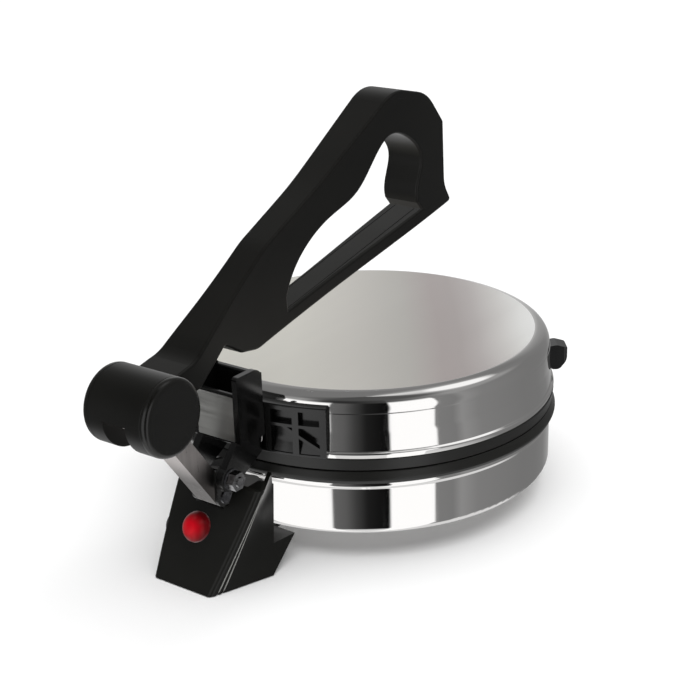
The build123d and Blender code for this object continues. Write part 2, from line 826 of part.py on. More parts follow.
def wing():
    # one side of the block: a thin web on the lid wall stiffened by flanges and ribs
    low = lid_hem + 0.8
    skin = wing_skin(wing_web, low, wing_top) & sector(wing_start, wing_angle)
    bars = turned([
        (cover_radius - 2, low, 0),
        (cover_radius - 2, wing_top, 0),
        (cover_radius + wing_depth, wing_top, 1),
        (cover_radius + wing_depth, low, 1),
    ]) & sector(wing_start, wing_angle)
    frame = bars & layer(wing_top - wing_flange, wing_top)
    frame += bars & layer(low, low + wing_rib)
    frame += bars & layer(wing_middle, wing_middle + wing_rib)
    for angle in wing_rib_angles:
        frame += bars & sector(angle - wing_rib_spread, angle + wing_rib_spread)
    # slanting rib from the upper inner corner to the lower outer one
    middle = (wing_rib_angles[1] + wing_rib_angles[2]) / 2
    span = radians(middle - wing_start) * cover_radius
    rise = (wing_middle - low) / 2
    place = Rot(0, 0, -middle) * Pos(-cover_radius, 0, low + rise)
    brace = place * Rot(-degrees(atan2(2 * rise, span)), 0, 0) * Box(4 * wing_depth, 2 * span, wing_rib)
    frame += bars & brace & layer(low, wing_middle)
    # cleared of the lid's wall and hem
    cover_clear = turned(
        [(0, disc_top, 0), (cover_radius + seat_gap, disc_top, 0)]
        + [(r + seat_gap, z, f) for r, z, f in cover_profile(0)[4:6]]
        + [(flare_radius + seat_gap, low - cut_over, 0), (0, low - cut_over, 0)]
    )
    return skin + (frame - cover_clear)


def hinge_block():
    core_rear = -cover_radius + 2
    body = across(section([
        (block_front_x, block_bottom, 2),
        (block_front_x, block_front_top, 1),
        (block_front_x + 3, block_front_top, 0.8),
        (block_front_x + 3, pocket_floor, 1),
        (block_rear_x - press_wall, pocket_floor, 1),
        (block_rear_x - press_wall, press_wall_top, 1),
        (block_rear_x, press_wall_top, 1),
        (block_rear_x, pocket_floor + 1, 0),
        (core_rear, pocket_floor + 1, 0),
        (core_rear, block_bottom, 0),
    ]), -block_half, block_half)
    side = section([
        (block_front_x, block_bottom, 2),
        (block_front_x - 1, cheek_top, 2),
        (block_rear_x, cheek_top, 7),
        (block_rear_x, block_bottom, 0),
    ])
    body += across(side, block_half - cheek, block_half)
    body += across(side, -block_half, -block_half + cheek)
    lug = section([
        (hinge_x - 7, hinge_z + 2.5, 0),
        (block_front_x, block_bottom + 2.3, 0),
        (block_rear_x, block_bottom + 5, 0),
        (block_rear_x, lid_hem + 1.3, 1),
        (hinge_x + 4, hinge_z - 6.3, 0),
    ])
    for low, high in ((lug_inner, lug_outer), (-lug_outer, -lug_inner)):
        body += across(lug, low, high)
        body += crosswise(lug_radius, low, high, hinge_x, hinge_z)
    body -= cross_bore(hinge_pin_radius + running_fit, hinge_x, hinge_z)
    right = wing()
    body += right + mirror(right, about=Plane.XZ)
    body -= upright(cover_radius + seat_gap, lid_seam, cheek_top + cut_over)
    hole_length = block_screw_length + 8
    hole_middle = block_screw_seat + 2.5 - hole_length / 2
    for y, z in block_screw_places:
        body -= along_x(block_screw_radius + running_fit, hole_length, hole_middle, y, z)
    return body


def block_screws():
    screws = []
    for y, z in block_screw_places:
        screw = screw_up(block_screw_radius, *block_screw_head, 0, block_screw_length, 0, 0)
        screws.append(Pos(block_screw_seat, y, z) * Rot(0, -90, 0) * screw)
    return screws


def rating_plate():
    low = block_bottom + 2.5
    high = block_front_top - 1.5
    return block(block_front_x - rating_sheet, block_front_x, -rating_half, rating_half, low, high)


rating_half = 13.3
rating_sheet = 0.6
tab_half = 7.0
tab_reach = 12.2            # out from the lid's wall
tab_low = flare_start - 4.4
tab_high = tab_low + 16.4
tab_wall = 2.5


def lid_tab():
    # finger tab, open underneath
    wall = cover_radius + seat_gap
    nose = wall + tab_reach
    body = across(section([
        (wall - 3, tab_high - 1.5, 0),
        (nose - 7, tab_high, 5),
        (nose, tab_high - 2, 1),
        (nose, tab_high - 10, 8),
        (nose - 5, tab_low, 4),
        (wall + 3, tab_low, 0.5),
        (wall - 3, tab_low + 4, 0),
    ]), -tab_half, tab_half)
    inner = tab_half - tab_wall
    body -= block(wall + 4, nose - tab_wall, -inner, inner, lid_seam, tab_screw_z - 3)
    plan = make_face(FilletPolyline(
        (0, -tab_half), (nose, -tab_half + 0.5), (nose, tab_half - 0.5), (0, tab_half),
        radius=[0, 2, 2, 0], close=True,
    ).edges())
    body &= extrude(plan, disc_top)
    body -= turned([
        (0, lid_seam, 0),
        (0, disc_top, 0),
        (wall, disc_top, 0),
        (wall, flare_start, 8),
        (flare_radius - 0.4, lid_hem + 2.3, 1.5),
        (flare_radius + seat_gap, lid_hem - 0.5, 0),
        (flare_radius + seat_gap, lid_seam, 0),
    ])
    body -= along_x(tab_screw_radius + running_fit, tab_screw_length + 1, wall + 3.5, 0, tab_screw_z)
    return tab_place * body


def tab_screw():
    screw = screw_up(tab_screw_radius, *tab_screw_head, 0, tab_screw_length, 0, 0)
    return tab_place * Pos(cover_radius - sheet - 0.1, 0, tab_screw_z) * Rot(0, 90, 0) * screw


# ---------------------------------------------------------------- link and press lever
link_place = Pos(hinge_x, 0, link_pin_z) * Rot(0, link_tilt - 90 - 2 * link_tilt, 0)
lever_place = Pos(drum_x, 0, drum_z) * Rot(0, -lever_rise, 0)
drum_slot_half = link_width / 2 + drum_slot_play
axle_wall = 4.3
axle_washer = 1.2
axle_washer_gap = 0.3
axle_washer_radius = 7.0
axle_end = 2.0              # axle past its seat
axle_seat = drum_slot_half + axle_wall


def link_form(half):
    form = crosswise(link_half_depth, -half, half, 0, 0)
    form += block(0, link_length, -half, half, -link_half_depth, link_half_depth)
    return form + crosswise(link_eye, -half, half, link_length, 0)


def link_channel():
    body = link_form(link_width / 2)
    body -= Pos(0, 0, -link_sheet) * link_form(link_width / 2 - link_sheet)
    body -= cross_bore(link_pin_radius + running_fit, 0, 0)
    body -= cross_bore(axle_radius + running_fit, link_length, 0)
    # relieved around the hinge bolt
    notch = around(link_pin_drop, -link_tilt)
    body -= cross_bore(hinge_pin_radius + link_notch_play, *notch)
    return link_place * body


def drum_axle():
    return lever_place * crosswise(axle_radius, -axle_seat - axle_end, axle_seat + axle_end, 0, 0)


def axle_washers():
    rings = []
    inner = axle_seat + axle_washer_gap
    for low in (inner, -inner - axle_washer):
        ring = crosswise(axle_washer_radius, low, low + axle_washer, 0, 0)
        ring -= cross_bore(axle_radius + running_fit, 0, 0)
        rings.append(lever_place * ring)
    return rings


lever_corners = [
    (8, 14.3, 0),
    (33, 14.3, 25),
    (108, 45.2, 60),
    (160, 57.6, 300),
    (243, 85, 30),
    (276, 69, 30),
    (lip_u, lip_v, 3),
    (toe_u - 5, 4, 20),
    (toe_u, bar_underside, 2.2),
    (86, bar_underside, 15),
    (72, -4, 6),
    (62.5, 5.5, 2),
    (58.5, 8.5, 2.5),
    (33, -2.5, 10),
    (8, -2.5, 0),
]
grip_curve = [
    (118, 7), (140, 26.5), (168, 34.5), (194, 38), (214, 50),
    (233, 58.5), (250, 50), (260.5, 31), (251.5, 14), (250.5, 5),
]
lever_half_widths = [(8, 14), (35, 14), (70, 11), (120, 9.8), (150, 10), (215, 12), (295, 13)]
lever_rounding = 1.6
blank_half = 20.0           # the blank before it is narrowed, to each side
plan_low = -40.0            # the plan is cut from here up to plan_high
plan_high = 120.0
rim_start = 12.0            # the rounded edges begin past the drum's cut
drum_edge = 0.5
cap_start = 46.0
cap_shift = (-1.67, -4.33)  # the cap's underside is the outline moved by this
cap_screw_length = 10.5
cap_screw_bite = 2.5
cap_screw_radius = 1.5
bar_groove = 7.4            # from the middle of the bar
bar_groove_width = 0.8
bar_groove_depth = 0.6
# along the bar, up to the grip's upper edge, and up to the cap's underside
cap_screw_places = [(130, 19, 46), (190, 37, 62.5), (240, 57, 78)]


def grip_opening():
    curve = Spline(*grip_curve)
    floor_end = grip_curve[-1][0] + 3.5
    floor_start = grip_curve[0][0] - 1
    base = Polyline(grip_curve[-1], (floor_end, bar_top), (floor_start, bar_top), grip_curve[0])
    return Plane.XZ * make_face([curve] + list(base.edges()))


def lever_plan():
    side = Spline(*lever_half_widths)
    other = mirror(side, about=Plane.XZ)
    ends = [Line(side @ 0, other @ 0), Line(side @ 1, other @ 1)]
    return Pos(0, 0, plan_low) * extrude(make_face([side, other] + ends), plan_high - plan_low)


def lever_blank():
    # whole outline of arm, loop and lower bar, narrowed in plan, with its edges rounded
    face = section(lever_corners) - grip_opening()
    blank = across(face, -blank_half, blank_half) & lever_plan()
    sides = blank.faces().filter_by(lambda f: abs(f.normal_at().Y) > 0.9)
    rims = [e for face in sides for e in face.edges() if e.center().X > rim_start]
    return blank, rims


def cap_zone():
    whole = section(lever_corners)
    sunk = Pos(cap_shift[0], 0, cap_shift[1]) * section(lever_corners)
    limit = section([
        (cap_start, 12, 0), (120, 40, 0), (240, 60, 0), (270, lip_v + 1, 0),
        (300, lip_v + 1, 0), (300, 100, 0), (cap_start, 100, 0),
    ])
    return across((whole - sunk) & limit, -blank_half, blank_half)


def press_lever():
    blank, rims = lever_blank()
    arm = fillet(rims, lever_rounding) - cap_zone()
    drum = crosswise(drum_radius, -drum_body_half, drum_body_half, 0, 0)
    drum = fillet(drum.edges(), drum_edge)
    body = arm + drum
    reach = drum_radius + 8
    turn = (drum_slot_end - drum_slot_start) / 3
    wedge = [(*around(reach, drum_slot_start + i * turn), 0) for i in range(4)]
    body -= across(section([(0, 0, 0)] + wedge), -drum_slot_half, drum_slot_half)
    body -= crosswise(drum_hollow_radius, -drum_slot_half, drum_slot_half, 0, 0)
    for low, high in ((axle_seat, bore_reach), (-bore_reach, -axle_seat)):
        body -= crosswise(drum_hollow_radius, low, high, 0, 0)
    body -= cross_bore(axle_radius + running_fit, 0, 0)
    for u, v, cap_v in cap_screw_places:
        seat = cap_v + cap_screw_bite - cap_screw_length
        body -= upright(cap_screw_head[0] + 0.5, v - 6, seat, u, 0)
        body -= upright(cap_screw_radius + screw_play, v, cap_v + 5, u, 0)
    # fine grooves along the lower bar's upper face
    groove_start = grip_curve[0][0] - 1
    groove_end = grip_curve[-1][0] + 3
    for side in (1, -1):
        low = side * bar_groove - bar_groove_width / 2
        high = side * bar_groove + bar_groove_width / 2
        body -= block(groove_start, groove_end, low, high, bar_top - bar_groove_depth, bar_top + cut_over)
    return lever_place * body


def lever_cap():
    blank, rims = lever_blank()
    cap = fillet(rims, lever_rounding) & cap_zone()
    for u, _, cap_v in cap_screw_places:
        cap -= upright(cap_screw_radius + running_fit, 0, cap_v + cap_screw_bite + 0.2, u, 0)
    return lever_place * cap


def cap_screws():
    screws = []
    for u, _, cap_v in cap_screw_places:
        tip = cap_v + cap_screw_bite
        seat = tip - cap_screw_length
        screws.append(lever_place * screw_up(cap_screw_radius, *cap_screw_head, seat, tip, u, 0))
    return screws


def drum_caps():
    caps = []
    for side in (1, -1):
        disc = crosswise(drum_radius, drum_body_half, drum_body_half + drum_cap_thickness, 0, 0)
        disc = fillet(disc.edges().sort_by(Axis.Y)[-1], drum_cap_rounding)
        disc += crosswise(drum_hollow_radius - 0.2, drum_body_half - 2, drum_body_half, 0, 0)
        caps.append(disc if side > 0 else mirror(disc, about=Plane.XZ))
    return [lever_place * cap for cap in caps]


pieces = {
    "base_pan": base_pan,
    "base_ring": base_ring,
    "lower_cooking_plate": lower_cooking_plate,
    "lower_heating_element": lambda: heater(seam - plate_thickness - tube_radius - seat_gap),
    "lower_element_clamp": lambda: clamp(clamp_top_low() - clamp_sheet),
    "lower_clamp_screw": lower_clamp_screw,
    "plate_spacers": plate_spacers,
    "pan_screws": pan_screws,
    "thermostat": thermostat,
    "front_feet": front_feet,
    "foot_screws": foot_screws,
    "rubber_pads": rubber_pads,
    "console_shell": console_shell,
    "console_floor": console_floor,
    "console_screws": console_screws,
    "console_fixings": console_fixings,
    "terminal_block": terminal_block,
    "cord_gland": cord_gland,
    "lamp_lens": lamp_lens,
    "lamp_body": lamp_body,
    "hinge_bracket": hinge_bracket,
    "bracket_rivets": bracket_rivets,
    "hinge_bolt": hinge_bolt,
    "hinge_washers": hinge_washers,
    "hinge_nut": hinge_nut,
    "link_pin": link_pin,
    "lid_cover": lid_cover,
    "lid_ring": lid_ring,
    "upper_cooking_plate": upper_cooking_plate,
    "upper_heating_element": lambda: heater(lid_plate_face() + plate_thickness + tube_radius + seat_gap),
    "upper_element_clamp": lambda: clamp(clamp_bottom_high()),
    "upper_clamp_screw": upper_clamp_screw,
    "plate_screws": plate_screws,
    "hinge_block": hinge_block,
    "rating_plate": rating_plate,
    "block_screws": block_screws,
    "lid_tab": lid_tab,
    "tab_screw": tab_screw,
    "link_channel": link_channel,
    "drum_axle": drum_axle,
    "axle_washers": axle_washers,
    "press_lever": press_lever,
    "lever_cap": lever_cap,
    "cap_screws": cap_screws,
    "drum_caps": drum_caps,
}

if __name__ == "__main__":
    os.makedirs("parts", exist_ok=True)
    for name, make in pieces.items():
        made = make()
        save(name, *(made if isinstance(made, list) else [made]))
        print(name)
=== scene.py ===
import json
from math import radians

import bpy
import numpy as np
from mathutils import Matrix, Vector


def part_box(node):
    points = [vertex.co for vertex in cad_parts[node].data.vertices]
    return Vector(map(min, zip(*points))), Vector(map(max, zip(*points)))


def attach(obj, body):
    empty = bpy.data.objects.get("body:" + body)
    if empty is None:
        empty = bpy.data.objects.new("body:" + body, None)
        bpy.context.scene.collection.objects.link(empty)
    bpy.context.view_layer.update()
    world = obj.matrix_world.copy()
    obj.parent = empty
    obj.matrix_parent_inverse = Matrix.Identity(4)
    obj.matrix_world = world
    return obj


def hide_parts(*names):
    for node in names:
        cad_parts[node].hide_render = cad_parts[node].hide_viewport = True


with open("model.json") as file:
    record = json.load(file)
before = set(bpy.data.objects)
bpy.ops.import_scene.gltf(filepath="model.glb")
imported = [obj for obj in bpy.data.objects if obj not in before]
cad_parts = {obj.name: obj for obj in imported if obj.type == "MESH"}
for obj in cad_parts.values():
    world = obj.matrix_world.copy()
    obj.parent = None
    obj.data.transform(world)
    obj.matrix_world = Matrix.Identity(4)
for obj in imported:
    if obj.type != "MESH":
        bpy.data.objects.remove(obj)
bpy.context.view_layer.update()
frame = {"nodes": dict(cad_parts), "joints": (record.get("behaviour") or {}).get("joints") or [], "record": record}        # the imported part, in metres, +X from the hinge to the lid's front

cadNodes = frame["nodes"]
print("frame loaded:", len(cadNodes), "nodes")

cameraSet = dict(
    place=(-0.73405, -0.53415, 0.43886),
    forward=(0.7462, 0.5623, -0.3564),
    right=(0.6018, -0.7986, 0.0),
    rollDegrees=-1.58,
    lens=81.26,
    sensor=36.0,
    farthest=50.0,
)


def makeCamera(values):
    data = bpy.data.cameras.new("camera")
    data.lens = values["lens"]
    data.sensor_width = values["sensor"]
    data.clip_end = values["farthest"]
    forward = Vector(values["forward"]).normalized()
    side = Vector(values["right"]).normalized()
    upward = side.cross(forward).normalized()
    roll = radians(values["rollDegrees"])
    side, upward = (
        side * np.cos(roll) + upward * np.sin(roll),
        upward * np.cos(roll) - side * np.sin(roll),
    )
    axes = Matrix((side, upward, -forward)).transposed().to_4x4()
    camera = bpy.data.objects.new("camera", data)
    camera.matrix_world = Matrix.Translation(values["place"]) @ axes
    bpy.context.scene.collection.objects.link(camera)
    bpy.context.scene.camera = camera


def addNode(tree, kind, inputs=None, **settings):
    # settings are the node's own switches; inputs gives fixed values by a socket's name or number
    node = tree.nodes.new(kind)
    for key, value in settings.items():
        setattr(node, key, value)
    for key, value in (inputs or {}).items():
        node.inputs[key].default_value = value
    return node


def feed(tree, node, items, sockets=None):
    # gives the first sockets, or the numbered ones, an output, a number or a colour of three numbers each
    for i, item in zip(sockets or range(len(items)), items):
        if isinstance(item, bpy.types.NodeSocket):
            tree.links.new(item, node.inputs[i])
        elif isinstance(item, (int, float)):
            node.inputs[i].default_value = item
        else:
            node.inputs[i].default_value = (*item, 1.0)
    return node.outputs[0]


def mathNode(tree, operation, *items):
    return feed(tree, addNode(tree, "ShaderNodeMath", operation=operation), items)


def mixNode(tree, share, first, second, blend="MIX"):
    return feed(tree, addNode(tree, "ShaderNodeMixRGB", blend_type=blend), (share, first, second))


def numberMixNode(tree, share, first, second):
    return feed(tree, addNode(tree, "ShaderNodeMix"), (share, first, second), (0, 2, 3))


def splitNode(tree, vector):
    node = addNode(tree, "ShaderNodeSeparateXYZ")
    tree.links.new(vector, node.inputs[0])
    return node.outputs


def rangeNode(tree, factor, low, high, start, end):
    # carries low..high of the factor onto start..end and stays within them
    return feed(tree, addNode(tree, "ShaderNodeMapRange"), (factor, low, high, start, end))


def rampNode(tree, factor, stops, interpolation="LINEAR"):
    node = tree.nodes.new("ShaderNodeValToRGB")
    node.color_ramp.interpolation = interpolation
    elements = node.color_ramp.elements
    while len(elements) > 1:
        elements.remove(elements[-1])
    for i, (position, colour) in enumerate(stops):
        element = elements[0] if i == 0 else elements.new(position)
        element.position = position
        if isinstance(colour, (int, float)):
            colour = (colour, colour, colour)
        element.color = (*colour, 1.0)
    tree.links.new(factor, node.inputs[0])
    return node.outputs[0]


studioSet = dict(
    # what shines sees a drum of cards: azimuth in degrees, then its light low, halfway and near the top
    cards=[
        (0, 0.22, 0.20, 0.40), (18, 0.36, 0.22, 0.22), (28, 0.62, 0.25, 0.20),
        (46, 0.72, 0.30, 0.20), (70, 0.30, 0.28, 0.20), (110, 0.20, 0.15, 0.20),
        (149, 0.12, 0.18, 0.20), (155, 1.20, 0.28, 0.18), (170, 1.20, 0.35, 0.14),
        (186, 1.20, 0.06, 0.08), (194.0, 1.20, 0.03, 0.08), (195.0, 0.145, 0.03, 0.08),
        (203, 0.115, 0.03, 0.08), (209, 0.055, 0.03, 0.08), (216, 0.014, 0.04, 0.08),
        (229.4, 0.003, 0.06, 0.09), (230.2, 1.20, 0.10, 0.09), (257.4, 1.20, 0.20, 0.09),
        (258.2, 0.23, 0.20, 0.09), (270, 0.215, 0.28, 0.11), (276, 0.30, 0.33, 0.14),
        (288, 0.235, 0.33, 0.30), (304, 0.22, 0.33, 0.60), (328, 0.20, 0.36, 0.72),
        (346, 0.20, 0.22, 0.80), (360, 0.22, 0.20, 0.40),
    ],
    middleRise=(0.48, 0.62),     # sines of the elevations between which one ring turns into the next
    topRise=(0.74, 0.86),
    tableRise=(-0.74, -0.60),    # under this the polished corners see the lit table
    tableGlow=0.80,
    softBox=(330.0, 60.0),       # azimuth and elevation of the one bright card overhead
    softBoxEdge=(0.955, 0.985),  # cosines at its outer and inner edge
    softBoxGlow=1.1,
    fill=0.20,                   # what dull surfaces get from all round
    backdrop=(1.0, 1.0, 1.0),
    sun=3.15,
    sunAngle=76.0,
    sunFrom=(0.05, -0.12, 1.0),
    floorShade=(0.93, 0.93, 0.93),
    floorRoughness=0.9,
    floorReach=12.0,
)


def makeWorld(values):
    world = bpy.data.worlds.new("studio")
    bpy.context.scene.world = world
    world.use_nodes = True
    tree = world.node_tree
    tree.nodes.clear()
    direction = addNode(tree, "ShaderNodeTexCoord").outputs["Generated"]
    x, y, height = splitNode(tree, direction)
    turn = mathNode(tree, "DIVIDE", mathNode(tree, "ARCTAN2", y, x), radians(360))
    turn = mathNode(tree, "FRACT", mathNode(tree, "ADD", turn, 1.0))
    rings = [
        rampNode(tree, turn, [(card[0] / 360, card[i]) for card in values["cards"]])
        for i in (1, 2, 3)
    ]
    sky = rings[0]
    for ring, (start, end) in zip(rings[1:], (values["middleRise"], values["topRise"])):
        sky = mixNode(tree, rampNode(tree, height, [(start, 0.0), (end, 1.0)]), sky, ring)
    table = rangeNode(tree, height, *values["tableRise"], values["tableGlow"], 0.0)
    azimuth, elevation = [radians(angle) for angle in values["softBox"]]
    toBox = addNode(tree, "ShaderNodeVectorMath", operation="DOT_PRODUCT", inputs={1: (
        np.cos(elevation) * np.cos(azimuth), np.cos(elevation) * np.sin(azimuth), np.sin(elevation),
    )})
    tree.links.new(direction, toBox.inputs[0])
    box = rangeNode(tree, toBox.outputs["Value"], *values["softBoxEdge"], 0.0, values["softBoxGlow"])
    for glow in (table, box):
        sky = mixNode(tree, 1.0, sky, glow, "LIGHTEN")
    ray = addNode(tree, "ShaderNodeLightPath").outputs
    light = mixNode(tree, ray["Is Glossy Ray"], (values["fill"],) * 3, sky)
    seen = mixNode(tree, ray["Is Camera Ray"], light, values["backdrop"])
    back = feed(tree, addNode(tree, "ShaderNodeBackground"), (seen,))
    tree.links.new(back, addNode(tree, "ShaderNodeOutputWorld").inputs[0])


def makeSun(values):
    data = bpy.data.lights.new("sun", "SUN")
    data.energy = values["sun"]
    data.angle = radians(values["sunAngle"])
    sun = bpy.data.objects.new("sun", data)
    sun.rotation_euler = Vector(values["sunFrom"]).to_track_quat("Z", "Y").to_euler()
    sun.visible_glossy = False
    bpy.context.scene.collection.objects.link(sun)


def makeFloor(values):
    mesh = bpy.data.meshes.new("floor")
    reach = values["floorReach"]
    corners = [(-reach, -reach, 0), (reach, -reach, 0), (reach, reach, 0), (-reach, reach, 0)]
    mesh.from_pydata(corners, [], [(0, 1, 2, 3)])
    floor = bpy.data.objects.new("floor", mesh)
    bpy.context.scene.collection.objects.link(floor)
    material = bpy.data.materials.new("paleFloor")
    material.use_nodes = True
    sockets = material.node_tree.nodes["Principled BSDF"].inputs
    sockets["Base Color"].default_value = (*values["floorShade"], 1)
    sockets["Roughness"].default_value = values["floorRoughness"]
    sockets["Specular IOR Level"].default_value = 0.0
    mesh.materials.append(material)
    floor.visible_glossy = False


makeCamera(cameraSet)
makeWorld(studioSet)
makeSun(studioSet)
makeFloor(studioSet)
bpy.context.scene.view_settings.view_transform = "Standard"
print("studio ready")

noiseSpan = (0.3, 0.7)       # nearly all of a noise texture lies between these


def startMaterial(name, base, metallic, roughness, inputs=None):
    # inputs gives fixed values to the shader's other sockets
    material = bpy.data.materials.new(name)
    material.use_nodes = True
    tree = material.node_tree
    shader = tree.nodes["Principled BSDF"]
    shader.inputs["Base Color"].default_value = (*base, 1)
    shader.inputs["Metallic"].default_value = metallic
    shader.inputs["Roughness"].default_value = roughness
    for key, value in (inputs or {}).items():
        shader.inputs[key].default_value = value
    place = addNode(tree, "ShaderNodeTexCoord")
    return material, tree, shader, place.outputs["Object"]


def mappedPlace(tree, place, stretch=(1, 1, 1), turn=(0, 0, 0)):
    mapping = addNode(tree, "ShaderNodeMapping", inputs={"Scale": stretch, "Rotation": turn})
    tree.links.new(place, mapping.inputs[0])
    return mapping.outputs[0]


def noiseNode(tree, place, scale, detail, stretch=(1, 1, 1), turn=(0, 0, 0)):
    noise = addNode(tree, "ShaderNodeTexNoise", inputs={"Scale": scale, "Detail": detail})
    tree.links.new(mappedPlace(tree, place, stretch, turn), noise.inputs[0])
    return noise.outputs[0]


def glossVary(tree, shader, noise, roughness, spread):
    gloss = rangeNode(tree, noise, *noiseSpan, roughness * spread[0], roughness * spread[1])
    tree.links.new(gloss, shader.inputs["Roughness"])


def shadeVary(tree, shader, noise, base, spread):
    stops = [(at, [channel * share for channel in base]) for at, share in zip(noiseSpan, spread)]
    tree.links.new(rampNode(tree, noise, stops), shader.inputs["Base Color"])


def bumpNode(tree, shader, height, distance):
    node = addNode(tree, "ShaderNodeBump", inputs={"Strength": 1.0, "Distance": distance})
    tree.links.new(height, node.inputs["Height"])
    tree.links.new(node.outputs[0], shader.inputs["Normal"])


def radiusNode(tree, place):
    # distance from the round body's axis
    squares = [mathNode(tree, "POWER", part, 2.0) for part in splitNode(tree, place)[:2]]
    return mathNode(tree, "SQRT", mathNode(tree, "ADD", *squares))


mouldedSet = dict(
    flow=14.0,                # flow marks per metre, drawn out upwards
    flowDetail=3.0,
    flowStretch=(1, 1, 2.2),
    glossSpread=(0.85, 1.2),
    shadeSpread=(0.8, 1.25),
    grainDetail=2.0,
)


def moulded(name, base, roughness, grain, depth, specular=0.5):
    # injection moulded plastic: fine spark grain, faint flow marks in the gloss
    values = mouldedSet
    inputs = {"Specular IOR Level": specular}
    material, tree, shader, place = startMaterial(name, base, 0.0, roughness, inputs)
    flow = noiseNode(tree, place, values["flow"], values["flowDetail"], values["flowStretch"])
    glossVary(tree, shader, flow, roughness, values["glossSpread"])
    shadeVary(tree, shader, flow, base, values["shadeSpread"])
    bumpNode(tree, shader, noiseNode(tree, place, grain, values["grainDetail"]), depth)
    return material


metalSet = dict(lineDetail=5.0, glossSpread=(0.8, 1.25))


def metal(name, base, roughness, stretch, scale, depth, tone=0.9):
    # rolled or turned metal: fine lines along one direction, uneven gloss; tone is the dark lines' share
    material, tree, shader, place = startMaterial(name, base, 1.0, roughness)
    lines = noiseNode(tree, place, scale, metalSet["lineDetail"], stretch)
    glossVary(tree, shader, lines, roughness, metalSet["glossSpread"])
    shadeVary(tree, shader, lines, base, (tone, 1.0))
    bumpNode(tree, shader, lines, depth)
    return material


plateSet = dict(
    base=(0.045, 0.045, 0.048),
    roughness=0.40,
    pitch=0.0014,             # between the rings that turning leaves
    ringShare=0.5,
    grain=1100.0,
    grainDetail=3.0,
    shadeSpread=(0.75, 1.3),
    glossSpread=(0.85, 1.15),
    depth=0.00002,
)


def turnedPlate(values):
    # non-stick coating over fine turned rings: height = sine of radius * 2 pi / pitch
    base, roughness = values["base"], values["roughness"]
    material, tree, shader, place = startMaterial("plateCoating", base, 0.0, roughness)
    angle = mathNode(tree, "MULTIPLY", radiusNode(tree, place), radians(360) / values["pitch"])
    rings = mathNode(tree, "MULTIPLY", mathNode(tree, "SINE", angle), values["ringShare"])
    grain = noiseNode(tree, place, values["grain"], values["grainDetail"])
    shadeVary(tree, shader, grain, base, values["shadeSpread"])
    glossVary(tree, shader, grain, roughness, values["glossSpread"])
    bumpNode(tree, shader, mathNode(tree, "ADD", rings, grain), values["depth"])
    return material


steelSet = dict(
    wall=(0.83, 0.82, 0.81),
    wallRoughness=0.05,
    wallSpread=(0.7, 1.5),
    scuffs=(700.0, 3.0, (1, 1, 0.05)),       # scale, detail and stretch of the wall's polishing marks
    discRadius=0.1072,
    discHeight=0.1018,
    discRoughness=0.46,
    discSpread=(0.9, 1.12),
    discMetallic=0.45,
    strokeTurn=36.9,                         # degrees from +X, the way the disc is brushed
    strokes=(60.0, 6.0, (0.03, 1, 1)),
    strokeShade=0.95,
    strokeDepth=0.00002,
    # painted reflection: soft light and dark bands across the strokes; metres from the middle, colour
    paintedReflectionBands=[
        (-0.110, (0.72, 0.71, 0.65)), (-0.045, (0.71, 0.695, 0.64)), (-0.010, (0.63, 0.61, 0.57)),
        (0.025, (0.52, 0.505, 0.475)), (0.046, (0.45, 0.405, 0.395)), (0.058, (0.45, 0.41, 0.40)),
        (0.070, (0.52, 0.485, 0.475)), (0.085, (0.68, 0.66, 0.64)), (0.100, (0.86, 0.86, 0.84)),
        (0.112, (0.95, 0.95, 0.94)),
    ],
    paintedBandReach=0.120,                         # half of the span that the bands are laid out on
    paintedBandWander=(26.0, 1.0, (0.05, 1, 1)),        # slow waver of the bands' edges
    paintedBandWanderReach=0.010,
)


def polishedSteel(values):
    # mirror-polished wall; the lid's flat disc is brushed in long parallel strokes and painted with
    # reflection bands
    base, roughness = values["wall"], values["wallRoughness"]
    material, tree, shader, place = startMaterial("polishedSteel", base, 1.0, roughness)
    inside = mathNode(tree, "LESS_THAN", radiusNode(tree, place), values["discRadius"])
    above = mathNode(tree, "GREATER_THAN", splitNode(tree, place)[2], values["discHeight"])
    disc = mathNode(tree, "MULTIPLY", inside, above)
    turn = (0, 0, radians(-values["strokeTurn"]))
    strokes = noiseNode(tree, place, *values["strokes"], turn)
    paintedBandWander = noiseNode(tree, place, *values["paintedBandWander"], turn)
    scuffs = noiseNode(tree, place, *values["scuffs"])
    glosses = [
        rangeNode(tree, noise, *noiseSpan, *(level * share for share in spread))
        for noise, level, spread in (
            (scuffs, roughness, values["wallSpread"]),
            (strokes, values["discRoughness"], values["discSpread"]),
        )
    ]
    tree.links.new(numberMixNode(tree, disc, *glosses), shader.inputs["Roughness"])
    tree.links.new(numberMixNode(tree, disc, 1.0, values["discMetallic"]), shader.inputs["Metallic"])
    # distance from the middle, square to the strokes, carried into a 0..1 ramp of painted reflection bands
    across = splitNode(tree, mappedPlace(tree, place, turn=turn))[1]
    drift = mathNode(tree, "MULTIPLY", mathNode(tree, "SUBTRACT", paintedBandWander, 0.5), values["paintedBandWanderReach"])
    span = 2 * values["paintedBandReach"]
    position = mathNode(tree, "DIVIDE", mathNode(tree, "SUBTRACT", drift, across), span)
    position = mathNode(tree, "ADD", position, 0.5)
    paintedLightTint = rampNode(tree, position, [(at / span + 0.5, colour) for at, colour in values["paintedReflectionBands"]])
    shade = rampNode(tree, strokes, list(zip(noiseSpan, (values["strokeShade"], 1.0))))
    # the disc's colour is the painted reflection, darkened a little along the strokes
    strokesAndPaintedReflection = mixNode(tree, 1.0, paintedLightTint, shade, "MULTIPLY")
    tree.links.new(mixNode(tree, disc, base, strokesAndPaintedReflection), shader.inputs["Base Color"])
    bumpNode(tree, shader, mathNode(tree, "MULTIPLY", strokes, disc), values["strokeDepth"])
    return material


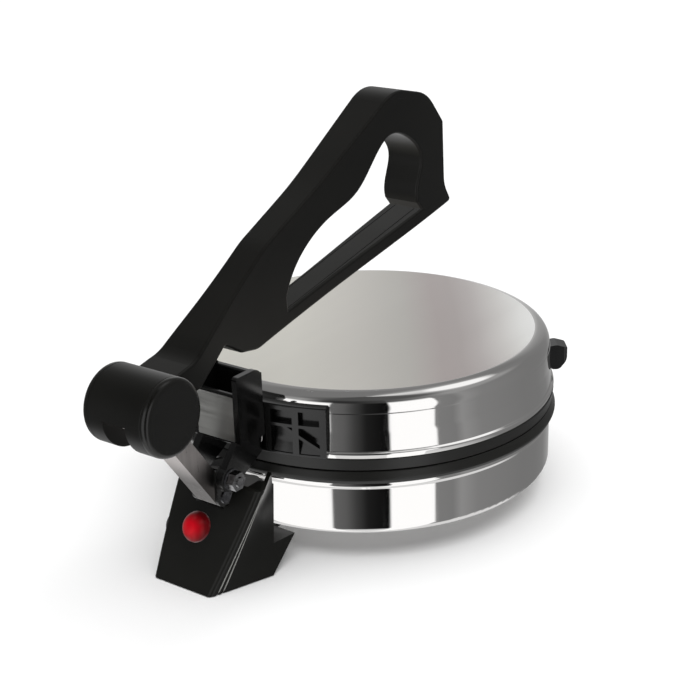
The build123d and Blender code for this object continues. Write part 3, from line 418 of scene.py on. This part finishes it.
linkSet = dict(
    low=0.058,                # heights between which the painted shade at the foot turns into the painted light at the head
    high=0.084,
    foot=(0.13, 0.12, 0.115),
    head=(0.70, 0.655, 0.64),
    roughness=0.34,
    glossSpread=(0.8, 1.2),
    lines=(500.0, 5.0, (1, 1, 0.08)),
    lineShade=0.86,
    depth=0.000004,
)


def linkSteel(values):
    # drawn sheet, with painted light: bright by the drum and painted darker towards the foot, where less
    # light falls
    material, tree, shader, place = startMaterial("linkSteel", values["head"], 1.0, values["roughness"])
    # painted light and shade: the colour grows brighter with height
    share = rangeNode(tree, splitNode(tree, place)[2], values["low"], values["high"], 0.0, 1.0)
    paintedLightTint = rampNode(tree, share, [(0, values["foot"]), (1, values["head"])], "EASE")
    lines = noiseNode(tree, place, *values["lines"])
    shade = rampNode(tree, lines, list(zip(noiseSpan, (values["lineShade"], 1.0))))
    tree.links.new(mixNode(tree, 1.0, paintedLightTint, shade, "MULTIPLY"), shader.inputs["Base Color"])
    glossVary(tree, shader, lines, values["roughness"], values["glossSpread"])
    bumpNode(tree, shader, lines, values["depth"])
    return material


lampSet = dict(
    core=(0.85, 0.001, 0.014),
    rim=(0.17, 0.0, 0.003),
    coreRadius=0.0035,
    rimRadius=0.0100,
    coreDrop=1 / 3,           # of the lens's height, from its top to the core
    roughness=0.32,
    inputs={"IOR": 1.49, "Specular IOR Level": 0.16, "Transmission Weight": 0.1},
    ripple=(260.0, 1.0),
    rippleDepth=0.00006,
)


def lampRed(values):
    # clear red moulding with a painted glow: bright over the lamp's middle, fading to dark towards its rim
    base, roughness = values["core"], values["roughness"]
    material, tree, shader, place = startMaterial("lampRed", base, 0.0, roughness, values["inputs"])
    low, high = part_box("lamp_lens")
    core = (low.x, (low.y + high.y) / 2, high.z - (high.z - low.z) * values["coreDrop"])
    toCore = addNode(tree, "ShaderNodeVectorMath", operation="DISTANCE", inputs={1: core})
    tree.links.new(place, toCore.inputs[0])
    # painted glow: 0 at the glow's core, 1 at its rim; depth here is not the moulding's thickness
    depth = rangeNode(tree, toCore.outputs["Value"], values["coreRadius"], values["rimRadius"], 0.0, 1.0)
    paintedLightTint = rampNode(tree, depth, [(0, base), (1, values["rim"])])
    tree.links.new(paintedLightTint, shader.inputs["Base Color"])
    bumpNode(tree, shader, noiseNode(tree, place, *values["ripple"]), values["rippleDepth"])
    return material


# plastics: name, colour, roughness, grain, its depth, how strongly it mirrors
# metals: name, colour, roughness, stretch of the lines, their scale and depth, how dark they are
finishes = dict(
    polished_steel=polishedSteel(steelSet),
    plate_coating=turnedPlate(plateSet),
    lamp_red=lampRed(lampSet),
    ring_plastic=moulded("ringPlastic", (0.010, 0.010, 0.009), 0.30, 1500.0, 0.00001, 0.4),
    lever_plastic=moulded("leverPlastic", (0.0045, 0.0044, 0.0036), 0.36, 1300.0, 0.000012, 0.28),
    cap_plastic=moulded("capPlastic", (0.005, 0.0048, 0.004), 0.42, 1500.0, 0.00002, 0.28),
    block_plastic=moulded("blockPlastic", (0.003, 0.003, 0.003), 0.16, 500.0, 0.000003),
    console_plastic=moulded("consolePlastic", (0.0055, 0.0055, 0.0045), 0.32, 1400.0, 0.00001, 0.32),
    lamp_housing=moulded("lampHousing", (0.8, 0.8, 0.77), 0.4, 1200.0, 0.00001),
    terminal_resin=moulded("terminalResin", (0.8, 0.78, 0.7), 0.45, 1200.0, 0.00001),
    soft_rubber=moulded("softRubber", (0.02, 0.02, 0.02), 0.75, 900.0, 0.00003),
    bright_sheet=metal("brightSheet", (0.70, 0.65, 0.63), 0.36, (1, 1, 0.08), 500.0, 0.000004),
    zinc_steel=metal("zincSteel", (0.74, 0.75, 0.77), 0.28, (1, 1, 1), 420.0, 0.000004),
    heater_sheath=metal("heaterSheath", (0.40, 0.36, 0.33), 0.45, (1, 1, 1), 260.0, 0.00001, 0.7),
    thermostat_case=metal("thermostatCase", (0.78, 0.78, 0.8), 0.32, (1, 1, 1), 500.0, 0.000005),
    silver_plate=metal("silverPlate", (0.52, 0.52, 0.50), 0.36, (1, 0.06, 1), 420.0, 0.000004),
)
nutZinc = metal("nutZinc", (0.42, 0.42, 0.43), 0.15, (1, 1, 1), 420.0, 0.000003, 0.5)
darkZinc = metal("darkZinc", (0.13, 0.13, 0.14), 0.24, (1, 1, 1), 420.0, 0.000004, 0.5)
# light grey beads: a painted highlight along the console panel's edges
paintedHighlightBead = moulded("paintedHighlightBead", (0.26, 0.26, 0.245), 0.35, 1400.0, 0.00001)

# nodes that look unlike the rest of their slot
ownFinish = dict(
    hinge_nut=nutZinc,
    hinge_bolt=nutZinc,
    hinge_washers=darkZinc,
    link_pin=darkZinc,
    hinge_bracket=moulded("blackSheet", (0.006, 0.006, 0.0055), 0.30, 900.0, 0.000006),
    drum_caps=moulded("drumGloss", (0.0045, 0.0044, 0.0036), 0.26, 1300.0, 0.00001, 0.42),
    link_channel=linkSteel(linkSet),
)
slotOf = {part["node"]: part["material_slot"] for part in frame["record"]["subparts"]}
for name, node in cadNodes.items():
    node.data.materials.clear()
    node.data.materials.append(ownFinish.get(name, finishes[slotOf[name]]))
print("finishes ready")


def roundedLine(corners, steps):
    # a broken line with arcs at its corners (x, y, radius): an arc starts radius / tan(half the angle of the
    # corner) before it and ends as far after it, and its points are spread evenly between the two
    points = [np.array([corners[0][:2]])]
    for before, at, after in zip(corners, corners[1:], corners[2:]):
        corner = np.array(at[:2])
        if at[2] == 0:
            points.append(corner[None])
            continue
        back = np.array(before[:2]) - corner
        on = np.array(after[:2]) - corner
        back, on = back / np.linalg.norm(back), on / np.linalg.norm(on)
        half = np.arccos(np.dot(back, on)) / 2
        middle = corner + (back + on) / np.linalg.norm(back + on) * at[2] / np.sin(half)
        reach = at[2] / np.tan(half)
        start, end = corner + back * reach - middle, corner + on * reach - middle
        turn = np.pi - 2 * half
        share = np.linspace(0, 1, steps)[:, None]
        swing = np.sin((1 - share) * turn) * start + np.sin(share * turn) * end
        points.append(middle + swing / np.sin(turn))
    points.append(np.array([corners[-1][:2]]))
    return np.vstack(points)


def gridFaces(rows, columns):
    # quads between each row and the next, round and round; row * columns + column is a point's number
    row = np.arange(rows - 1)[:, None] * columns
    here = row + np.arange(columns)[None]
    beside = row + (np.arange(columns)[None] + 1) % columns
    return np.stack((here, here + columns, beside + columns, beside), -1).reshape(-1, 4)


def closedMesh(name, rings, firstEnd, lastEnd, sharpDegrees):
    # rings is (rows, columns, 3); the first and last ring are closed by fans to one point each
    rows, columns = rings.shape[:2]
    points = np.vstack((rings.reshape(-1, 3), [firstEnd], [lastEnd]))
    column = np.arange(columns)
    beside = (column + 1) % columns
    last = (rows - 1) * columns
    total = rows * columns
    firstFan = np.stack((np.full(columns, total), column, beside), -1)
    lastFan = np.stack((np.full(columns, total + 1), last + beside, last + column), -1)
    mesh = bpy.data.meshes.new(name)
    faces = gridFaces(rows, columns).tolist() + firstFan.tolist() + lastFan.tolist()
    mesh.from_pydata(points.tolist(), [], faces)
    mesh.shade_smooth()
    mesh.set_sharp_from_angle(angle=radians(sharpDegrees))
    piece = bpy.data.objects.new(name, mesh)
    bpy.context.scene.collection.objects.link(piece)
    return piece


def addPiece(piece, material, slot, body, *nodes):
    piece.data.materials.append(material)
    if nodes:
        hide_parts(*nodes)
    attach(piece, body)


# the lid's pressed steel skin; each corner is (out, down or up, the radius that rounds it)
lidSkinSet = dict(
    sheet=0.0008,
    segments=480,
    arcSteps=14,
    sharp=24.0,                  # degrees, above which an edge isn't smoothed
    poleRadius=0.001,
    discInset=0.0125,            # of the flat disc's edge from the skin's widest
    wallInset=0.0030,
    # out from the disc's edge, and down from it
    shoulder=[(0.0027, 0.0006, 0.012), (0.0071, 0.0032, 0.0085), (0.0092, 0.0080, 0.010)],
    creaseDown=0.0108,           # a fine step in the wall, where the drawn shoulder ends
    creaseStep=0.0003,
    creaseHeight=0.0005,
    # out from the wall, and up from the hem
    flare=[
        (0.0, 0.0150, 0.030), (0.0010, 0.0041, 0.0008), (0.0028, 0.0031, 0.0008), (0.0021, 0.0, 0),
    ],
)


def lidSkin(values):
    # radius and height follow a rounded line out from the middle, down the wall and back inside it by the
    # sheet's thickness; x = radius * cos(angle), y = radius * sin(angle)
    low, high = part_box("lid_cover")
    widest, top, hem = high.x, high.z, low.z
    disc = widest - values["discInset"]
    wall = widest - values["wallInset"]
    crease = top - values["creaseDown"]

    def line(inset):
        # inset is 0 outside, and inside the sheet; it grows from nothing to full over the shoulder
        corners = [(values["poleRadius"], top - inset, 0), (disc, top - inset, 0)]
        corners += [
            (disc + out - inset * out / (wall - disc), top - down - inset / 2, radius)
            for out, down, radius in values["shoulder"]
        ]
        corners += [
            (wall - inset - values["creaseStep"], crease, 0),
            (wall - inset, crease - values["creaseHeight"], 0),
        ]
        corners += [(wall - inset + out, hem + up, radius) for out, up, radius in values["flare"]]
        return roundedLine(corners, values["arcSteps"])

    profile = np.vstack((line(0.0), line(values["sheet"])[::-1]))
    angle = np.linspace(0, 2 * np.pi, values["segments"], endpoint=False)
    rings = np.stack((
        profile[:, :1] * np.cos(angle),
        profile[:, :1] * np.sin(angle),
        np.repeat(profile[:, 1:], len(angle), 1),
    ), -1)
    return closedMesh("lidSkin", rings, (0, 0, top), (0, 0, top - values["sheet"]), values["sharp"])


addPiece(lidSkin(lidSkinSet), finishes["polished_steel"], "polished_steel", "lid", "lid_cover")

# the two fine beads that part the console's front panel from each side; their light grey is a painted
# highlight
panelBeadSet = dict(
    behind=(0.0040, 0.0066),     # from the panel's face, along its normal
    radius=0.00050,
    sunk=0.00025,
    lean=34.6,                   # degrees, of the panel from upright
    frontHalf=(0.0210, 0.0330),  # half width of the panel at the table and at the console's top
    rearHalf=(0.0353, 0.0160),   # the same of the neck's rear end
    frontReach=0.0305,           # of the panel's foot in front of the hinge
    rearReach=(0.0095, 0.0365),  # of the neck's rear end behind the hinge
    top=0.053,
    low=0.0012,
    high=0.0505,
    endPower=24,                 # how late a bead tapers to its ends, and what is left there, squared
    endLeast=0.02,
    sharp=60.0,
    rows=40,
    sides=12,
)


def panelBead(values, behind, side, name):
    # middle line: at height z the panel's edge lies at front(z), and the side runs from it to rear(z); the
    # bead follows the side at a fixed distance behind the panel. Round it: radius * (cos, sin) of the turn.
    hinge = next(joint for joint in frame["joints"] if joint["name"] == "lid_hinge")["pos_m"][0]
    z = np.linspace(values["low"], values["high"], values["rows"])
    share = z / values["top"]
    lean = radians(values["lean"])
    frontX = hinge - values["frontReach"] + z * np.tan(lean)
    frontY, rearY, rearX = [
        values[key][0] + share * (values[key][1] - values[key][0])
        for key in ("frontHalf", "rearHalf", "rearReach")
    ]
    slope = (rearY - frontY) / (hinge + rearX - frontX)
    back = behind / np.cos(lean)
    outward = np.stack((-slope, np.ones_like(slope)), -1)
    outward /= np.linalg.norm(outward, axis=1)[:, None]
    middle = np.stack((frontX + back, frontY + slope * back), -1) - outward * values["sunk"]
    turn = np.linspace(0, 2 * np.pi, values["sides"], endpoint=False)
    taper = 1 - np.abs(np.linspace(-1, 1, values["rows"])) ** values["endPower"]
    radius = values["radius"] * np.sqrt(np.clip(taper, values["endLeast"], 1))[:, None]
    along = np.stack((outward[:, 1], -outward[:, 0]), -1)
    rings = np.stack((
        middle[:, :1] + radius * (np.cos(turn) * outward[:, :1] + np.sin(turn) * along[:, :1]),
        side * (middle[:, 1:] + radius * (np.cos(turn) * outward[:, 1:] + np.sin(turn) * along[:, 1:])),
        np.repeat(z[:, None], len(turn), 1),
    ), -1)
    if side < 0:
        rings = rings[:, ::-1]
    return closedMesh(name, rings[::-1], rings[-1].mean(0), rings[0].mean(0), values["sharp"])


for side, sideName in ((1, "Left"), (-1, "Right")):
    for i, behind in enumerate(panelBeadSet["behind"]):
        bead = panelBead(panelBeadSet, behind, side, f"panelBead{sideName}{i + 1}")
        addPiece(bead, paintedHighlightBead, "console_plastic", "base")
        bead.visible_glossy = False
print("pieces made")

# the disc is too dull to mirror the lever, and the light is too soft for its shadow; beside the console the
# pan mirrors a white card
for name in ("press_lever", "lever_cap"):
    cadNodes[name].visible_glossy = False
    cadNodes[name].visible_shadow = False
roundBody = ("base_pan", "base_ring", "lower_cooking_plate")
for name in frame["record"]["behaviour"]["bodies"]["base"]:
    cadNodes[name].visible_glossy = name in roundBody
print("reflections set")
